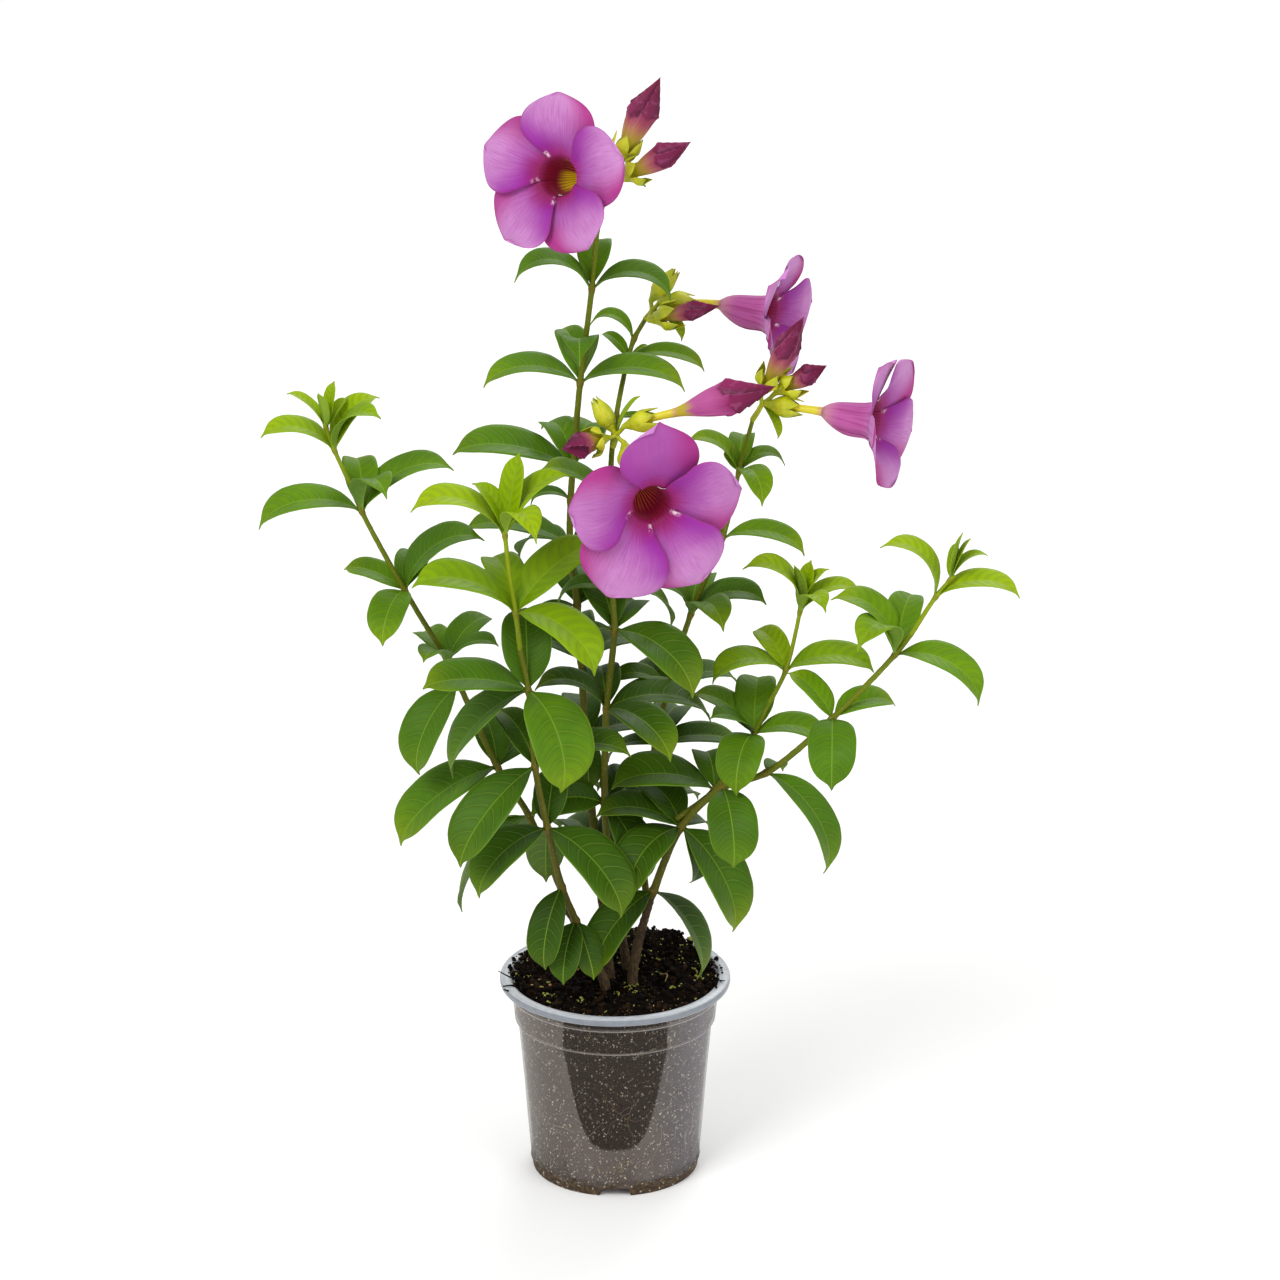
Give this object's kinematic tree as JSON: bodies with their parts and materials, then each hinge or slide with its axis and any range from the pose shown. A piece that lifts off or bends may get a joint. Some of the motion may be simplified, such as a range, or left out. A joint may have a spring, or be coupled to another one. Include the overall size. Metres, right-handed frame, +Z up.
{
  "type": "potted allamanda",
  "caption": "Potted flowering vine: several leafy stems with trumpet flowers and furled buds, rooted in soil in a round see-through nursery pot.",
  "frame": {"origin": "middle of the underside of the whole plant in its pot, on the surface that it stands on", "axes": "+X to the viewer's right and +Y away from the viewer of the front, +Z up; the pot stands upright"},
  "size_m": [0.3812, 0.144, 0.586],
  "materials": {
    "clear_pot": "thin see-through blow-moulded plastic with a pale glossy rim",
    "potting_soil": "dark fibrous potting soil",
    "bark": "dull brown bark",
    "dark_leaf": "satin, dark mature leaf",
    "leaf": "satin, mature leaf",
    "young_leaf": "satin, young yellow-green leaf",
    "calyx": "satin, yellow-green",
    "flower_tube": "satin, yellow",
    "petal": "soft velvety violet with a dark throat",
    "bud": "satin, purple"
  },
  "bodies": {
    "root": {"pot": "clear_pot", "soil": "potting_soil", "wood_left": "bark", "wood_centre": "bark", "wood_back": "bark", "wood_right": "bark", "stem_left": "dark_leaf", "tip_left": "young_leaf", "stem_front": "dark_leaf", "tip_front": "young_leaf", "stem_tall": "leaf", "stem_middle": "leaf", "stem_back": "leaf", "stem_right": "leaf", "tip_right": "young_leaf", "stem_side": "leaf", "tip_side": "young_leaf", "flower_top_corolla": "petal", "flower_top_tube": "flower_tube", "bud_top_1": "bud", "bud_top_2": "bud", "calyces_top": "calyx", "flower_upper_corolla": "petal", "flower_upper_tube": "flower_tube", "bud_upper_1": "bud", "calyces_upper": "calyx", "flower_front_corolla": "petal", "flower_front_tube": "flower_tube", "bud_front_1": "bud", "bud_front_1_tube": "flower_tube", "bud_front_2": "bud", "calyces_front": "calyx", "flower_back_corolla": "petal", "flower_back_tube": "flower_tube", "bud_back_1": "bud", "bud_back_2": "bud", "calyces_back": "calyx"}
  },
  "joints": []
}
